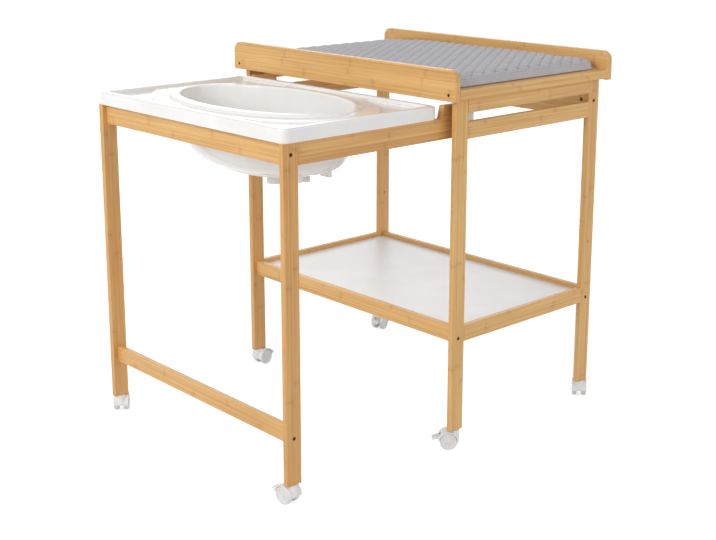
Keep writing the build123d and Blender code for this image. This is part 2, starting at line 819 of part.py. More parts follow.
# Castors: a hood with a stem that turns in the post, a pair of wheels on one axle and a brake
# tab pinned behind the hood. turn is the way that the castor trails, in degrees from +X.
def build_castor(label, x, y, turn):
    """The hood, wheels and brake tab of one castor."""
    trail_dir = (cos(radians(turn)), sin(radians(turn)), 0)
    axle_dir = (sin(radians(turn)), -cos(radians(turn)), 0)
    side = Plane(origin=(x, y, 0), x_dir=trail_dir, z_dir=axle_dir)
    hub = Vector(castor_trail, wheel_radius)
    pivot = hub + Vector(
        brake_pivot_reach * cos(radians(brake_pivot_angle)),
        brake_pivot_reach * sin(radians(brake_pivot_angle)),
    )
    bay_radius = wheel_radius + hood_bay_gap
    hood_radius = bay_radius + hood_wall

    with BuildPart() as hood:
        with BuildSketch(side):
            with BuildLine():
                arc = CenterArc(hub, hood_radius, hood_start_angle, hood_end_angle - hood_start_angle)
                Line(arc @ 1, hub)
                Line(hub, arc @ 0)
            make_face()
        extrude(amount=wheel_outer, both=True)
        with BuildSketch(Plane.XY.offset(wheel_radius)):
            with Locations((x, y)):
                Circle(hood_boss_radius)
        extrude(amount=hood_top - wheel_radius)
        for web_side in (-1, 1):
            with BuildSketch(side.offset(web_side * hood_web / 2)):
                with Locations(hub):
                    Circle(bay_radius)
            extrude(amount=web_side * wheel_width * 2, mode=Mode.SUBTRACT)
        with BuildSketch(side):
            with BuildLine():
                notch = CenterArc(hub, 2 * hood_radius, -hood_notch_angle, 2 * hood_notch_angle)
                Line(notch @ 1, hub)
                Line(hub, notch @ 0)
            make_face()
            with Locations(hub):
                Circle(bay_radius - overrun, mode=Mode.SUBTRACT)
        extrude(amount=cheek_outer + brake_side_gap, both=True, mode=Mode.SUBTRACT)
        with BuildSketch(side):
            with Locations(hub):
                Circle(hood_hub_radius)
            with Locations(pivot):
                Circle(brake_knuckle)
            make_hull()
        extrude(amount=hood_web / 2, both=True)
        with BuildSketch(side):
            with Locations(hub):
                Circle(axle_radius + axle_fit)
            with Locations(pivot):
                Circle(brake_pin_radius + brake_pin_fit)
        extrude(amount=hood_web, both=True, mode=Mode.SUBTRACT)
        with BuildSketch(Plane.XY.offset(hood_top)):
            with Locations((x, y)):
                Circle(stem_radius)
        extrude(amount=castor_gap + stem_length)
    save(hood, f"castor_{label}_hood")

    axle_point = side.from_local_coords(hub)
    axle_plane = Plane(origin=axle_point, x_dir=axle_dir, z_dir=-side.x_dir)
    with BuildPart() as wheels:
        with BuildSketch(axle_plane):
            with BuildLine():
                Polyline(
                    (0, 0),
                    (0, axle_radius),
                    (wheel_inner, axle_radius),
                    (wheel_inner, wheel_radius - wheel_chamfer),
                    (wheel_inner + wheel_chamfer, wheel_radius),
                    (wheel_outer - wheel_chamfer, wheel_radius),
                    (wheel_outer, wheel_radius - wheel_chamfer),
                    (wheel_outer, wheel_dish_radius),
                    (wheel_outer - wheel_dish, wheel_dish_radius - wheel_dish),
                    (wheel_outer - wheel_dish, wheel_hub_radius),
                    (wheel_outer, wheel_hub_radius - wheel_dish),
                    (wheel_outer, 0),
                    close=True,
                )
            make_face()
            mirror(about=Plane.YZ)
        revolve(axis=Axis(axle_point, axle_dir))
    save(wheels, f"castor_{label}_wheels")

    with BuildPart() as brake:
        with BuildSketch(side):
            with Locations(pivot):
                Circle(brake_knuckle)
            with Locations(pivot + Vector(brake_length, -brake_tip_drop)):
                Circle(brake_tip_radius)
            make_hull()
        extrude(amount=cheek_outer, both=True)
        with BuildSketch(side):
            with Locations(pivot):
                Circle(brake_knuckle + brake_slot_gap)
        extrude(amount=cheek_inner, both=True, mode=Mode.SUBTRACT)
        with BuildSketch(side):
            with Locations(pivot):
                Circle(brake_pin_radius)
        extrude(amount=cheek_inner, both=True)
    save(brake, f"castor_{label}_brake")


for castor_label, castor_x, castor_y, castor_turn in (
    ("front_left", post_x_left, -post_y, turn_post_front_left),
    ("back_left", post_x_left, post_y, turn_post_back_left),
    ("front_right", post_x_right, -post_y, turn_post_front_right),
    ("back_right", post_x_right, post_y, turn_post_back_right),
    ("bath_front", bath_post_x, -bath_post_y, turn_bath_front),
    ("bath_back", bath_post_x, bath_post_y, turn_bath_back),
):
    build_castor(castor_label, castor_x, castor_y, castor_turn)
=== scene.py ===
from math import cos, hypot, pi, radians, sin

import bmesh
import bpy
import numpy as np
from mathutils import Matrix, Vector


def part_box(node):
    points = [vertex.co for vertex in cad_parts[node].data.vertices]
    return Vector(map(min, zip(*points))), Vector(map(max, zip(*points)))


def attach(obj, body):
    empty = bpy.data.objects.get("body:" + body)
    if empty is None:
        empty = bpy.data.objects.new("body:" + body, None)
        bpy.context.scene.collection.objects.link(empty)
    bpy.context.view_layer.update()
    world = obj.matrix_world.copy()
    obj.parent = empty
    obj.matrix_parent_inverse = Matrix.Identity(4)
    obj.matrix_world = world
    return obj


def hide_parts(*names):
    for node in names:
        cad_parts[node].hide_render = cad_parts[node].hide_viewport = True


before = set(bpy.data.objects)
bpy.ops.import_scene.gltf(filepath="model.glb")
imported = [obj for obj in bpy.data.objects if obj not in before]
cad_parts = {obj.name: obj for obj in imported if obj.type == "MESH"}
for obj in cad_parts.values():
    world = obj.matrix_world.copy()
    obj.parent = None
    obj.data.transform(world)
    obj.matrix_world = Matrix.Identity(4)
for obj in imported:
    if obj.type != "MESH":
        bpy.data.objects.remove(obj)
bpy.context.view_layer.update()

# Camera
# Stands off the corner of the bath's outer end, above the tray, and looks down a little. The
# frame is shifted down, which keeps the legs nearly upright, as they are in the photograph.
photo_width_px = 716
focus_px = 1267.6
camera_place = Vector((-2.2313, -2.4827, 1.3704))
camera_heading = radians(47.8)
camera_dip = radians(13.27)
camera_data = bpy.data.cameras.new("camera")
camera_data.sensor_width = 36.0
camera_data.lens = focus_px / photo_width_px * camera_data.sensor_width
camera_data.shift_y = -0.10
camera_data.clip_start, camera_data.clip_end = 0.1, 100.0
camera = bpy.data.objects.new("camera", camera_data)
camera.location = camera_place
camera.rotation_euler = (
    Vector((
        cos(camera_heading) * cos(camera_dip),
        sin(camera_heading) * cos(camera_dip),
        -sin(camera_dip),
    ))
    .to_track_quat("-Z", "Y")
    .to_euler()
)
bpy.context.scene.collection.objects.link(camera)
bpy.context.scene.camera = camera

# Studio light
# A bright tent: a soft white surround that is weaker overhead, a large panel off the bath's end
# and weaker ones in front and far behind. What a lens or a gloss sees past the floor is white.
tent_at_horizon, tent_overhead = 0.80, 0.34
tent_dims_from, tent_dims_to = 0.40, 0.95
tent_as_seen = 1.0
lamp_panels = (
    # name, place, target, size across and up, power
    ("panel_bath_end", (-4.2, -0.3, 2.7), (0.0, 0.0, 0.5), (2.6, 2.2), 84.0),
    ("panel_front", (1.4, -4.2, 1.9), (0.1, 0.0, 0.5), (3.0, 2.2), 22.0),
    ("panel_far_side", (2.8, 3.4, 2.3), (0.1, 0.0, 0.4), (3.0, 2.0), 27.0),
)
for name, place, target, (across, up), power in lamp_panels:
    lamp = bpy.data.lights.new(name, "AREA")
    lamp.shape = "RECTANGLE"
    lamp.size, lamp.size_y, lamp.energy = across, up, power
    lamp_object = bpy.data.objects.new(name, lamp)
    lamp_object.location = place
    aim = Vector(target) - Vector(place)
    lamp_object.rotation_euler = aim.to_track_quat("-Z", "Y").to_euler()
    bpy.context.scene.collection.objects.link(lamp_object)


def seen_directly(nodes, links):
    """1 for what the lens, a gloss or anything clear sees, and 0 for light that falls on things."""
    path = nodes.new("ShaderNodeLightPath")
    seen = path.outputs["Is Camera Ray"]
    for way in ("Is Glossy Ray", "Is Transmission Ray"):
        either = nodes.new("ShaderNodeMath")
        either.operation = "ADD"
        links.new(seen, either.inputs[0])
        links.new(path.outputs[way], either.inputs[1])
        seen = either.outputs[0]
    return seen


tent = bpy.data.worlds.new("tent")
tent.use_nodes = True
tent_nodes, tent_links = tent.node_tree.nodes, tent.node_tree.links
tent_back = tent_nodes["Background"]
tent_back.inputs["Color"].default_value = (1.0, 1.0, 1.0, 1.0)
tent_place = tent_nodes.new("ShaderNodeTexCoord")
tent_split = tent_nodes.new("ShaderNodeSeparateXYZ")
tent_rise = tent_nodes.new("ShaderNodeMapRange")
tent_rise.interpolation_type = "SMOOTHSTEP"
for socket, value in (
    ("From Min", tent_dims_from),
    ("From Max", tent_dims_to),
    ("To Min", tent_at_horizon),
    ("To Max", tent_overhead),
):
    tent_rise.inputs[socket].default_value = value
tent_level = tent_nodes.new("ShaderNodeMapRange")
tent_level.inputs["To Max"].default_value = tent_as_seen
tent_links.new(tent_place.outputs["Generated"], tent_split.inputs[0])
tent_links.new(tent_split.outputs["Z"], tent_rise.inputs["Value"])
tent_links.new(tent_rise.outputs[0], tent_level.inputs["To Min"])
tent_links.new(seen_directly(tent_nodes, tent_links), tent_level.inputs["Value"])
tent_links.new(tent_level.outputs[0], tent_back.inputs["Strength"])
bpy.context.scene.world = tent
bpy.context.scene.view_settings.view_transform = "Standard"


# Floor
# A wide white studio floor. It is dull, so it keeps a soft shadow round the castors, and it
# glows a little to the lens, so that it meets the white surround without an edge. It is clear
# from below, so that the underside can be looked at.
def tone(red, green, blue):
    """A paint colour given as 0 to 255, for a shader socket."""
    levels = []
    for part in (red, green, blue):
        part = part / 255
        levels.append(part / 12.92 if part <= 0.04045 else ((part + 0.055) / 1.055) ** 2.4)
    return (*levels, 1.0)


def new_material(name):
    """An empty node material with its shader, which each finish then feeds."""
    material = bpy.data.materials.new(name)
    material.use_nodes = True
    return material, material.node_tree.nodes, material.node_tree.links


floor_reach = 30.0
floor_glow = 0.58
floor_paint = (0.80, 0.80, 0.80, 1.0)
floor_dullness = 0.9
floor_mesh = bpy.data.meshes.new("floor")
floor_mesh.from_pydata(
    [(x * floor_reach, y * floor_reach, 0.0) for x, y in ((-1, -1), (1, -1), (1, 1), (-1, 1))],
    [],
    [(0, 1, 2, 3)],
)
floor = bpy.data.objects.new("floor", floor_mesh)
bpy.context.scene.collection.objects.link(floor)
floor_finish, floor_nodes, floor_links = new_material("floor_white")
floor_shader = floor_nodes["Principled BSDF"]
floor_shader.inputs["Base Color"].default_value = floor_paint
floor_shader.inputs["Roughness"].default_value = floor_dullness
floor_shader.inputs["Specular IOR Level"].default_value = 0.0
floor_shader.inputs["Emission Color"].default_value = (1.0, 1.0, 1.0, 1.0)
floor_level = floor_nodes.new("ShaderNodeMath")
floor_level.operation = "MULTIPLY"
floor_level.inputs[1].default_value = floor_glow
floor_links.new(seen_directly(floor_nodes, floor_links), floor_level.inputs[0])
floor_links.new(floor_level.outputs[0], floor_shader.inputs["Emission Strength"])
floor_side = floor_nodes.new("ShaderNodeNewGeometry")
floor_clear = floor_nodes.new("ShaderNodeBsdfTransparent")
floor_mix = floor_nodes.new("ShaderNodeMixShader")
floor_links.new(floor_side.outputs["Backfacing"], floor_mix.inputs[0])
floor_links.new(floor_shader.outputs[0], floor_mix.inputs[1])
floor_links.new(floor_clear.outputs[0], floor_mix.inputs[2])
floor_links.new(floor_mix.outputs[0], floor_nodes["Material Output"].inputs["Surface"])
floor_mesh.materials.append(floor_finish)


# Bamboo boards
# Every post, rail, batten and guard is laminated bamboo: strips as wide as a thumb glued edge
# to edge, each with fine fibres and a darker joint every hand or so, under clear satin lacquer.
def node_group(name, inputs, outputs):
    """A shader group with the named sockets, each given as name, kind and value."""
    group = bpy.data.node_groups.new(name, "ShaderNodeTree")
    for socket, kind, value in inputs:
        made = group.interface.new_socket(socket, in_out="INPUT", socket_type=kind)
        if value is not None:
            made.default_value = value
    for socket, kind in outputs:
        group.interface.new_socket(socket, in_out="OUTPUT", socket_type=kind)
    return group, group.nodes.new("NodeGroupInput"), group.nodes.new("NodeGroupOutput")


def math_node(tree, operation, first, second=None, third=None):
    """A Math node. Each operand is a socket to link or a plain number."""
    node = tree.nodes.new("ShaderNodeMath")
    node.operation = operation
    for place, operand in enumerate((first, second, third)):
        if operand is None:
            continue
        if isinstance(operand, (int, float)):
            node.inputs[place].default_value = operand
        else:
            tree.links.new(operand, node.inputs[place])
    return node.outputs[0]


def noise_node(tree, vector, scale, detail=2.0, rough=0.5):
    """A Noise Texture's grey value at a vector."""
    node = tree.nodes.new("ShaderNodeTexNoise")
    node.inputs["Scale"].default_value = scale
    node.inputs["Detail"].default_value = detail
    node.inputs["Roughness"].default_value = rough
    tree.links.new(vector, node.inputs["Vector"])
    return node.outputs["Fac"]


def stretch_node(tree, vector, scale):
    """A vector stretched by a plain scale on each axis."""
    node = tree.nodes.new("ShaderNodeMapping")
    node.inputs["Scale"].default_value = scale
    tree.links.new(vector, node.inputs["Vector"])
    return node.outputs[0]


def mix_node(tree, mask, first, second, blend="MIX"):
    """A colour mix. The mask and colours are sockets or plain values."""
    node = tree.nodes.new("ShaderNodeMix")
    node.data_type, node.blend_type = "RGBA", blend
    for place, operand in ((0, mask), (6, first), (7, second)):
        if isinstance(operand, (int, float, tuple)):
            node.inputs[place].default_value = operand
        else:
            tree.links.new(operand, node.inputs[place])
    return node.outputs[2]


def range_node(tree, value, from_low, from_high, to_low, to_high, smooth=False):
    """A Map Range from one pair of numbers to another, held at its ends."""
    node = tree.nodes.new("ShaderNodeMapRange")
    if smooth:
        node.interpolation_type = "SMOOTHSTEP"
    for socket, number in zip(
        ("From Min", "From Max", "To Min", "To Max"), (from_low, from_high, to_low, to_high)
    ):
        node.inputs[socket].default_value = number
    tree.links.new(value, node.inputs["Value"])
    return node.outputs[0]


strip_width, strip_thickness = 0.021, 0.008
# How far a pattern is shifted from board to board and from strip to strip, so none repeats
strip_shift_per_board, joint_scatter, board_shift = 0.37, 5.0, 3.7
# How far each pattern is stretched along, across and through a board
fibre_stretch = (9.0, 1300.0, 1300.0)
streak_stretch = (2.2, 210.0, 210.0)
cloud_stretch = (5.0, 22.0, 22.0)
# Where a noise's greys lie that a pattern is drawn from
noise_middle = (0.34, 0.66)
noise_cloudy = (0.30, 0.70)
# How much of the dark tone each pattern brings
fibre_share, streak_share, strip_share, cloud_share = 0.36, 0.42, 0.24, 0.16
joint_spacing, joint_bow = 0.27, 0.012
joint_band, joint_halo = (0.0010, 0.0052), (0.002, 0.018)
joint_share, smudge_share, seam_share = 0.20, 0.20, 0.30
seam_half_width = 0.022  # of a strip's width
lacquer_sheen = (0.36, 0.50)
lacquer_coat, lacquer_coat_dullness = 0.12, 0.30
grain_strength, grain_depth = 0.25, 0.0004
bamboo_light, bamboo_dark, bamboo_mark = (240, 198, 128), (200, 146, 78), (170, 114, 56)
# What a board loses of each tone for each unit of its browning and painted shade
bamboo_light_loss, bamboo_dark_loss = (8, 16, 16), (6, 13, 10)

bamboo_group, bamboo_in, bamboo_out = node_group(
    "bamboo_laminate",
    (
        ("Vector", "NodeSocketVector", None),
        ("Strip Width", "NodeSocketFloat", strip_width),
        ("Joint Spacing", "NodeSocketFloat", joint_spacing),
        ("Board", "NodeSocketFloat", 0.0),
        ("Light Tone", "NodeSocketColor", tone(*bamboo_light)),
        ("Dark Tone", "NodeSocketColor", tone(*bamboo_dark)),
        ("Joint Tone", "NodeSocketColor", tone(*bamboo_mark)),
    ),
    (("Color", "NodeSocketColor"), ("Roughness", "NodeSocketFloat"), ("Height", "NodeSocketFloat")),
)
bamboo_split = bamboo_group.nodes.new("ShaderNodeSeparateXYZ")
bamboo_group.links.new(bamboo_in.outputs["Vector"], bamboo_split.inputs[0])
bamboo_along, bamboo_across, bamboo_deep = bamboo_split.outputs
bamboo_shifted = math_node(
    bamboo_group,
    "ADD",
    math_node(bamboo_group, "DIVIDE", bamboo_across, bamboo_in.outputs["Strip Width"]),
    math_node(bamboo_group, "MULTIPLY", bamboo_in.outputs["Board"], strip_shift_per_board),
)
bamboo_strip = math_node(bamboo_group, "FLOOR", bamboo_shifted)
bamboo_in_strip = math_node(bamboo_group, "FRACT", bamboo_shifted)
bamboo_layer = math_node(
    bamboo_group, "FLOOR", math_node(bamboo_group, "DIVIDE", bamboo_deep, strip_thickness)
)
bamboo_random = bamboo_group.nodes.new("ShaderNodeTexWhiteNoise")
bamboo_random.noise_dimensions = "3D"
bamboo_key = bamboo_group.nodes.new("ShaderNodeCombineXYZ")
bamboo_group.links.new(bamboo_strip, bamboo_key.inputs[0])
bamboo_group.links.new(bamboo_in.outputs["Board"], bamboo_key.inputs[1])
bamboo_group.links.new(bamboo_layer, bamboo_key.inputs[2])
bamboo_group.links.new(bamboo_key.outputs[0], bamboo_random.inputs["Vector"])
bamboo_chance = bamboo_random.outputs["Value"]
bamboo_fibre = noise_node(
    bamboo_group,
    stretch_node(bamboo_group, bamboo_in.outputs["Vector"], fibre_stretch),
    1.0,
    3.0,
    0.6,
)
bamboo_streak = noise_node(
    bamboo_group,
    stretch_node(bamboo_group, bamboo_in.outputs["Vector"], streak_stretch),
    1.0,
    2.0,
)
bamboo_cloud = noise_node(
    bamboo_group,
    stretch_node(bamboo_group, bamboo_in.outputs["Vector"], cloud_stretch),
    1.0,
    2.0,
)
# Joints: one band across each strip, at a place of the strip's own and slightly bowed
bamboo_bow = math_node(
    bamboo_group,
    "MULTIPLY",
    math_node(bamboo_group, "SUBTRACT", bamboo_streak, 0.5),
    joint_bow,
)
bamboo_step = math_node(
    bamboo_group,
    "ADD",
    math_node(
        bamboo_group,
        "DIVIDE",
        math_node(bamboo_group, "ADD", bamboo_along, bamboo_bow),
        bamboo_in.outputs["Joint Spacing"],
    ),
    math_node(bamboo_group, "MULTIPLY", bamboo_chance, joint_scatter),
)
bamboo_from_joint = math_node(
    bamboo_group,
    "MULTIPLY",
    math_node(
        bamboo_group,
        "ABSOLUTE",
        math_node(bamboo_group, "SUBTRACT", math_node(bamboo_group, "FRACT", bamboo_step), 0.5),
    ),
    bamboo_in.outputs["Joint Spacing"],
)
bamboo_joint = range_node(bamboo_group, bamboo_from_joint, *joint_band, 1.0, 0.0, smooth=True)
bamboo_halo = range_node(bamboo_group, bamboo_from_joint, *joint_halo, 1.0, 0.0, smooth=True)
bamboo_smudge = math_node(
    bamboo_group,
    "MULTIPLY",
    bamboo_halo,
    range_node(bamboo_group, bamboo_streak, 0.40, 0.62, 0.15, 1.0),
)
bamboo_edge = math_node(
    bamboo_group,
    "MINIMUM",
    bamboo_in_strip,
    math_node(bamboo_group, "SUBTRACT", 1.0, bamboo_in_strip),
)
bamboo_seam = range_node(bamboo_group, bamboo_edge, 0.0, seam_half_width, 1.0, 0.0, smooth=True)
bamboo_shade = math_node(
    bamboo_group,
    "ADD",
    math_node(
        bamboo_group,
        "ADD",
        range_node(bamboo_group, bamboo_fibre, *noise_middle, 0.0, fibre_share),
        range_node(bamboo_group, bamboo_streak, *noise_middle, 0.0, streak_share),
    ),
    math_node(
        bamboo_group,
        "ADD",
        math_node(bamboo_group, "MULTIPLY", bamboo_chance, strip_share),
        range_node(bamboo_group, bamboo_cloud, *noise_cloudy, 0.0, cloud_share),
    ),
)
bamboo_body = mix_node(
    bamboo_group, bamboo_shade, bamboo_in.outputs["Light Tone"], bamboo_in.outputs["Dark Tone"]
)
bamboo_banded = mix_node(
    bamboo_group,
    math_node(
        bamboo_group,
        "ADD",
        math_node(bamboo_group, "MULTIPLY", bamboo_joint, joint_share),
        math_node(bamboo_group, "MULTIPLY", bamboo_smudge, smudge_share),
    ),
    bamboo_body,
    bamboo_in.outputs["Joint Tone"],
)
bamboo_seamed = mix_node(
    bamboo_group,
    math_node(bamboo_group, "MULTIPLY", bamboo_seam, seam_share),
    bamboo_banded,
    bamboo_in.outputs["Joint Tone"],
)
bamboo_group.links.new(bamboo_seamed, bamboo_out.inputs["Color"])
bamboo_group.links.new(
    range_node(bamboo_group, bamboo_fibre, 0.25, 0.75, *lacquer_sheen),
    bamboo_out.inputs["Roughness"],
)
bamboo_group.links.new(
    math_node(
        bamboo_group,
        "SUBTRACT",
        math_node(bamboo_group, "MULTIPLY", bamboo_fibre, 0.6),
        math_node(bamboo_group, "ADD", bamboo_seam, bamboo_joint),
    ),
    bamboo_out.inputs["Height"],
)

# How much browner than the rest some boards are. Those behind the side frames' slots are the
# brownest, which paints in some of the deep shade that they stand in at the back.
bamboo_browning_and_shade = {
    "bath_leg_front": 0.55, "bath_leg_back": 0.75, "leg_back_left": 0.8, "leg_back_right": 0.6,
    "bath_side_rail_front": 0.5, "bath_side_rail_back": 0.9, "bath_rear_rail": 1.6,
    "shelf_rail_back": 0.4, "apron_back": 1.6, "guide_rail_back": 1.2,
    "tray_batten_back": 1.6,
}
# The axes that lie along, across and through each board, and the boards that lie so
bamboo_boards = (
    ((2, 0, 1), (
        "leg_front_left", "leg_front_right", "leg_back_left", "leg_back_right",
        "bath_leg_front", "bath_leg_back",
    )),
    ((0, 2, 1), (
        "apron_front", "apron_back", "guide_rail_front", "guide_rail_back",
        "shelf_rail_front", "shelf_rail_back", "bath_side_rail_front", "bath_side_rail_back",
    )),
    ((1, 2, 0), (
        "right_top_rail", "shelf_rail_left", "shelf_rail_right", "bath_left_rail",
        "bath_low_rail", "bath_rear_rail", "guard_left", "guard_right",
    )),
    ((0, 1, 2), ("tray_batten_front", "tray_batten_back")),
)


def dress(finish, *names):
    """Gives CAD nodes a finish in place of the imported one."""
    for name in names:
        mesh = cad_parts[name].data
        mesh.materials.clear()
        mesh.materials.append(finish)


board_number = 0
for axes, boards in bamboo_boards:
    for board in boards:
        board_number += 1
        finish, nodes, links = new_material(f"bamboo_{board}")
        shader = nodes["Principled BSDF"]
        shader.inputs["Coat Weight"].default_value = lacquer_coat
        shader.inputs["Coat Roughness"].default_value = lacquer_coat_dullness
        place = nodes.new("ShaderNodeTexCoord")
        split = nodes.new("ShaderNodeSeparateXYZ")
        join = nodes.new("ShaderNodeCombineXYZ")
        links.new(place.outputs["Object"], split.inputs[0])
        for slot_number, axis in enumerate(axes):
            links.new(split.outputs[axis], join.inputs[slot_number])
        grain = nodes.new("ShaderNodeGroup")
        grain.node_tree = bamboo_group
        grain.inputs["Board"].default_value = board_number * board_shift
        # The board's own browning, with painted shade added on the boards behind the slots
        browning_and_shade = bamboo_browning_and_shade.get(board, 0.0)
        for socket, full, loss in (
            ("Light Tone", bamboo_light, bamboo_light_loss),
            ("Dark Tone", bamboo_dark, bamboo_dark_loss),
        ):
            grain.inputs[socket].default_value = tone(
                *(level - drop * browning_and_shade for level, drop in zip(full, loss))
            )
        links.new(join.outputs[0], grain.inputs["Vector"])
        bump = nodes.new("ShaderNodeBump")
        bump.inputs["Strength"].default_value = grain_strength
        bump.inputs["Distance"].default_value = grain_depth
        links.new(grain.outputs["Color"], shader.inputs["Base Color"])
        links.new(grain.outputs["Roughness"], shader.inputs["Roughness"])
        links.new(grain.outputs["Height"], bump.inputs["Height"])
        links.new(bump.outputs[0], shader.inputs["Normal"])
        dress(finish, board)


# White boards
# The shelf and the tray's floor are thin boards faced with white laminate. They lie in grooves
# of the rails, battens and guards, so only their faces show.
moulded_group, moulded_in, moulded_out = node_group(
    "moulded_surface",
    (
        ("Vector", "NodeSocketVector", None),
        ("Tone", "NodeSocketColor", tone(236, 235, 233)),
        ("Shaded Tone", "NodeSocketColor", tone(228, 227, 225)),
        ("Cloud Scale", "NodeSocketFloat", 14.0),
        ("Grain Scale", "NodeSocketFloat", 900.0),
        ("Smoothest", "NodeSocketFloat", 0.30),
        ("Roughest", "NodeSocketFloat", 0.42),
    ),
    (("Color", "NodeSocketColor"), ("Roughness", "NodeSocketFloat"), ("Height", "NodeSocketFloat")),
)


def scaled_noise(tree, vector, scale_socket, detail):
    """A Noise Texture whose scale comes from a group's input."""
    node = tree.nodes.new("ShaderNodeTexNoise")
    node.inputs["Detail"].default_value = detail
    tree.links.new(vector, node.inputs["Vector"])
    tree.links.new(scale_socket, node.inputs["Scale"])
    return node.outputs["Fac"]


moulded_cloud = scaled_noise(
    moulded_group, moulded_in.outputs["Vector"], moulded_in.outputs["Cloud Scale"], 3.0
)
moulded_grain = scaled_noise(
    moulded_group, moulded_in.outputs["Vector"], moulded_in.outputs["Grain Scale"], 2.0
)
moulded_group.links.new(
    mix_node(
        moulded_group,
        range_node(moulded_group, moulded_cloud, 0.35, 0.65, 0.0, 1.0, smooth=True),
        moulded_in.outputs["Tone"],
        moulded_in.outputs["Shaded Tone"],
    ),
    moulded_out.inputs["Color"],
)
moulded_span = math_node(
    moulded_group, "SUBTRACT", moulded_in.outputs["Roughest"], moulded_in.outputs["Smoothest"]
)
moulded_group.links.new(
    math_node(
        moulded_group,
        "MULTIPLY_ADD",
        math_node(
            moulded_group,
            "MULTIPLY",
            math_node(moulded_group, "ADD", moulded_cloud, moulded_grain),
            0.5,
        ),
        moulded_span,
        moulded_in.outputs["Smoothest"],
    ),
    moulded_out.inputs["Roughness"],
)
moulded_group.links.new(moulded_grain, moulded_out.inputs["Height"])


moulded_relief_depth = 0.0003


def moulded_finish(name, bright, shaded, cloud_scale, grain_scale, smoothest, roughest, relief):
    """A smooth surface with a faint cloudiness, a fine grain and an uneven sheen."""
    made, nodes, links = new_material(name)
    shader = nodes["Principled BSDF"]
    place = nodes.new("ShaderNodeTexCoord")
    surface = nodes.new("ShaderNodeGroup")
    surface.node_tree = moulded_group
    for socket, value in (
        ("Tone", bright),
        ("Shaded Tone", shaded),
        ("Cloud Scale", cloud_scale),
        ("Grain Scale", grain_scale),
        ("Smoothest", smoothest),
        ("Roughest", roughest),
    ):
        surface.inputs[socket].default_value = value
    relief_node = nodes.new("ShaderNodeBump")
    relief_node.inputs["Strength"].default_value = relief
    relief_node.inputs["Distance"].default_value = moulded_relief_depth
    links.new(place.outputs["Object"], surface.inputs["Vector"])
    links.new(surface.outputs["Color"], shader.inputs["Base Color"])
    links.new(surface.outputs["Roughness"], shader.inputs["Roughness"])
    links.new(surface.outputs["Height"], relief_node.inputs["Height"])
    links.new(relief_node.outputs[0], shader.inputs["Normal"])
    return made, shader


white_laminate, _ = moulded_finish(
    "white_laminate",
    bright=tone(244, 246, 248),
    shaded=tone(241, 243, 245),
    cloud_scale=9.0,
    grain_scale=700.0,
    smoothest=0.36,
    roughest=0.46,
    relief=0.10,
)
dress(white_laminate, "shelf_panel", "tray_panel")


# Connector bolts, barrel nuts and screws
# Zinc-plated steel sunk in the boards, painted dark brown as painted shade of the holes it sits in.
# Every cross rail is drawn to its posts by hex-socket bolts that run into barrel nuts.
zinc_dark_for_hole_shade, zinc_shader = moulded_finish(
    "zinc_steel_painted_shade",
    # Dark brown tones: painted shade of the holes round the heads
    bright=tone(92, 74, 55),
    shaded=tone(64, 50, 36),
    cloud_scale=420.0,
    grain_scale=2600.0,
    smoothest=0.30,
    roughest=0.46,
    relief=0.20,
)
zinc_shader.inputs["Metallic"].default_value = 1.0
dress(
    zinc_dark_for_hole_shade,
    "stand_bolts", "stand_nuts", "bath_bolts", "bath_nuts",
    "guard_screws", "tray_screws", "block_screws",
)

# Slide blocks
# Dull off-white plastic blocks, screwed to the rear ends of the bath's side rails. They run in
# the slots of the stand's side frames.
block_plastic, _ = moulded_finish(
    "block_plastic",
    bright=tone(221, 214, 204),
    shaded=tone(208, 200, 190),
    cloud_scale=60.0,
    grain_scale=1400.0,
    smoothest=0.42,
    roughest=0.58,
    relief=0.20,
)
dress(block_plastic, "slide_block_front", "slide_block_back")

# Tub
# One glossy cream-white moulding: skirt, raised border, sunken deck with a soap dish in each
# corner, and the oval lip that rolls over into the bowl. It sits on the bath frame's rails.
tub_gloss, tub_shader = moulded_finish(
    "tub_gloss",
    bright=tone(242, 241, 240),
    shaded=tone(237, 235, 232),
    cloud_scale=5.0,
    grain_scale=260.0,
    smoothest=0.16,
    roughest=0.24,
    relief=0.012,
)
tub_shader.inputs["Coat Weight"].default_value = 0.35
tub_shader.inputs["Coat Roughness"].default_value = 0.10
dress(tub_gloss, "tub")

# Drain
# A flanged cup under the bowl with a spout for a hose, and a plug with a finger grip inside the
# bowl. Both are plain white plastic.
drain_plastic, _ = moulded_finish(
    "drain_plastic",
    bright=tone(236, 233, 228),
    shaded=tone(229, 225, 219),
    cloud_scale=40.0,
    grain_scale=900.0,
    smoothest=0.26,
    roughest=0.38,
    relief=0.10,
)
dress(drain_plastic, "drain_outlet", "drain_plug")

# Castors
# White nylon hoods and brake tabs in satin moulding, and twin wheels of a slightly greyer
# plastic on one axle. The stems turn in the feet of the posts.
castor_nylon, _ = moulded_finish(
    "castor_nylon",
    bright=tone(238, 237, 236),
    shaded=tone(230, 229, 228),
    cloud_scale=90.0,
    grain_scale=1500.0,
    smoothest=0.30,
    roughest=0.44,
    relief=0.12,
)
castor_tread, _ = moulded_finish(
    "castor_tread",
    bright=tone(229, 228, 227),
    shaded=tone(219, 218, 217),
    cloud_scale=90.0,
    grain_scale=1100.0,
    smoothest=0.36,
    roughest=0.52,
    relief=0.20,
)
for corner in ("front_left", "front_right", "back_left", "back_right", "bath_front", "bath_back"):
    dress(castor_nylon, f"castor_{corner}_hood", f"castor_{corner}_brake")
    dress(castor_tread, f"castor_{corner}_wheels")

